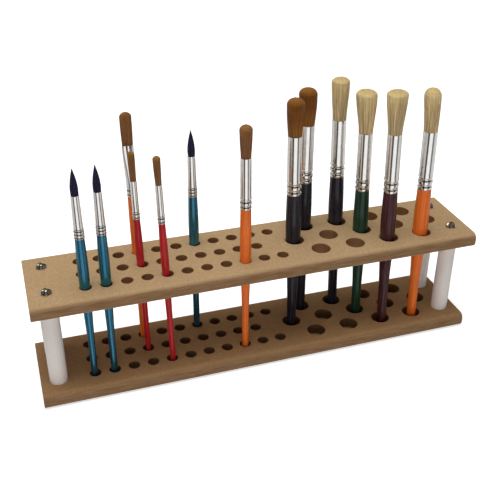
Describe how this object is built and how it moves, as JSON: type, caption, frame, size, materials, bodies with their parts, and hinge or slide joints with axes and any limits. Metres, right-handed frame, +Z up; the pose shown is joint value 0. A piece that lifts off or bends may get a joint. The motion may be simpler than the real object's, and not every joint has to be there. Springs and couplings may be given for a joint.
{
  "type": "tool storage caddy",
  "caption": "Free-standing rack with a drilled upper board on round posts over a socketed base board, holding paint brushes and slim hobby tools upright.",
  "frame": {"origin": "middle of the base board's underside", "axes": "+X along the boards towards the large sockets, +Y to the back row, +Z up"},
  "size_m": [0.35, 0.072, 0.2125],
  "materials": {
    "board": "bare fibreboard, sanded, matte",
    "post": "white, satin, slightly translucent",
    "screw": "nickel plated",
    "ferrule": "polished nickel plate",
    "blue_handle": "gloss lacquer",
    "red_handle": "gloss lacquer",
    "orange_handle": "gloss lacquer",
    "black_handle": "gloss lacquer",
    "green_handle": "gloss lacquer",
    "maroon_handle": "gloss lacquer",
    "dark_hair": "fine pointed hair",
    "brown_hair": "fine brown hair",
    "golden_hair": "golden brown hair",
    "cream_hair": "coarse cream bristle"
  },
  "bodies": {
    "rack": {"top_board": "board", "base_board": "board", "post_front_left": "post", "post_front_right": "post", "post_back_left": "post", "post_back_right": "post", "top_screws": "screw", "base_screws": "screw"},
    "blue_brush_1": {"blue_brush_1_handle": "blue_handle", "blue_brush_1_ferrule": "ferrule", "blue_brush_1_hair": "dark_hair"},
    "blue_brush_2": {"blue_brush_2_handle": "blue_handle", "blue_brush_2_ferrule": "ferrule", "blue_brush_2_hair": "dark_hair"},
    "blue_brush_3": {"blue_brush_3_handle": "blue_handle", "blue_brush_3_ferrule": "ferrule", "blue_brush_3_hair": "dark_hair"},
    "red_brush_1": {"red_brush_1_handle": "red_handle", "red_brush_1_ferrule": "ferrule", "red_brush_1_hair": "brown_hair"},
    "red_brush_2": {"red_brush_2_handle": "red_handle", "red_brush_2_ferrule": "ferrule", "red_brush_2_hair": "brown_hair"},
    "orange_brush_1": {"orange_brush_1_handle": "orange_handle", "orange_brush_1_ferrule": "ferrule", "orange_brush_1_hair": "brown_hair"},
    "orange_brush_2": {"orange_brush_2_handle": "orange_handle", "orange_brush_2_ferrule": "ferrule", "orange_brush_2_hair": "brown_hair"},
    "orange_brush_3": {"orange_brush_3_handle": "orange_handle", "orange_brush_3_ferrule": "ferrule", "orange_brush_3_hair": "cream_hair"},
    "black_brush_1": {"black_brush_1_handle": "black_handle", "black_brush_1_ferrule": "ferrule", "black_brush_1_hair": "golden_hair"},
    "black_brush_2": {"black_brush_2_handle": "black_handle", "black_brush_2_ferrule": "ferrule", "black_brush_2_hair": "golden_hair"},
    "black_brush_3": {"black_brush_3_handle": "black_handle", "black_brush_3_ferrule": "ferrule", "black_brush_3_hair": "cream_hair"},
    "green_brush": {"green_brush_handle": "green_handle", "green_brush_ferrule": "ferrule", "green_brush_hair": "cream_hair"},
    "maroon_brush": {"maroon_brush_handle": "maroon_handle", "maroon_brush_ferrule": "ferrule", "maroon_brush_hair": "cream_hair"}
  },
  "joints": [
    {"name": "blue_brush_1_lift", "type": "slide", "parent": "rack", "child": "blue_brush_1", "axis": [0.0035, 0, 1], "range_m": [0, 0.1]},
    {"name": "blue_brush_2_lift", "type": "slide", "parent": "rack", "child": "blue_brush_2", "axis": [0.004, 0.003, 1], "range_m": [0, 0.1]},
    {"name": "blue_brush_3_lift", "type": "slide", "parent": "rack", "child": "blue_brush_3", "axis": [0.0012, 0.0006, 1], "range_m": [0, 0.1]},
    {"name": "red_brush_1_lift", "type": "slide", "parent": "rack", "child": "red_brush_1", "axis": [-0.0148, 0.0026, 0.9999], "range_m": [0, 0.1]},
    {"name": "red_brush_2_lift", "type": "slide", "parent": "rack", "child": "red_brush_2", "axis": [-0.0242, 0, 0.9997], "range_m": [0, 0.1]},
    {"name": "orange_brush_1_lift", "type": "slide", "parent": "rack", "child": "orange_brush_1", "axis": [-0.0063, 0.0009, 1], "range_m": [0, 0.1]},
    {"name": "orange_brush_2_lift", "type": "slide", "parent": "rack", "child": "orange_brush_2", "axis": [0, 0, 1], "range_m": [0, 0.1]},
    {"name": "orange_brush_3_lift", "type": "slide", "parent": "rack", "child": "orange_brush_3", "axis": [-0.0197, 0.0037, 0.9998], "range_m": [0, 0.1]},
    {"name": "black_brush_1_lift", "type": "slide", "parent": "rack", "child": "black_brush_1", "axis": [-0.0135, 0.0049, 0.9999], "range_m": [0, 0.1]},
    {"name": "black_brush_2_lift", "type": "slide", "parent": "rack", "child": "black_brush_2", "axis": [0.0025, 0.0142, 0.9999], "range_m": [0, 0.1]},
    {"name": "black_brush_3_lift", "type": "slide", "parent": "rack", "child": "black_brush_3", "axis": [-0.0208, 0.011, 0.9997], "range_m": [0, 0.1]},
    {"name": "green_brush_lift", "type": "slide", "parent": "rack", "child": "green_brush", "axis": [-0.0255, 0.0037, 0.9997], "range_m": [0, 0.1]},
    {"name": "maroon_brush_lift", "type": "slide", "parent": "rack", "child": "maroon_brush", "axis": [-0.0303, 0.0025, 0.9995], "range_m": [0, 0.1]}
  ]
}
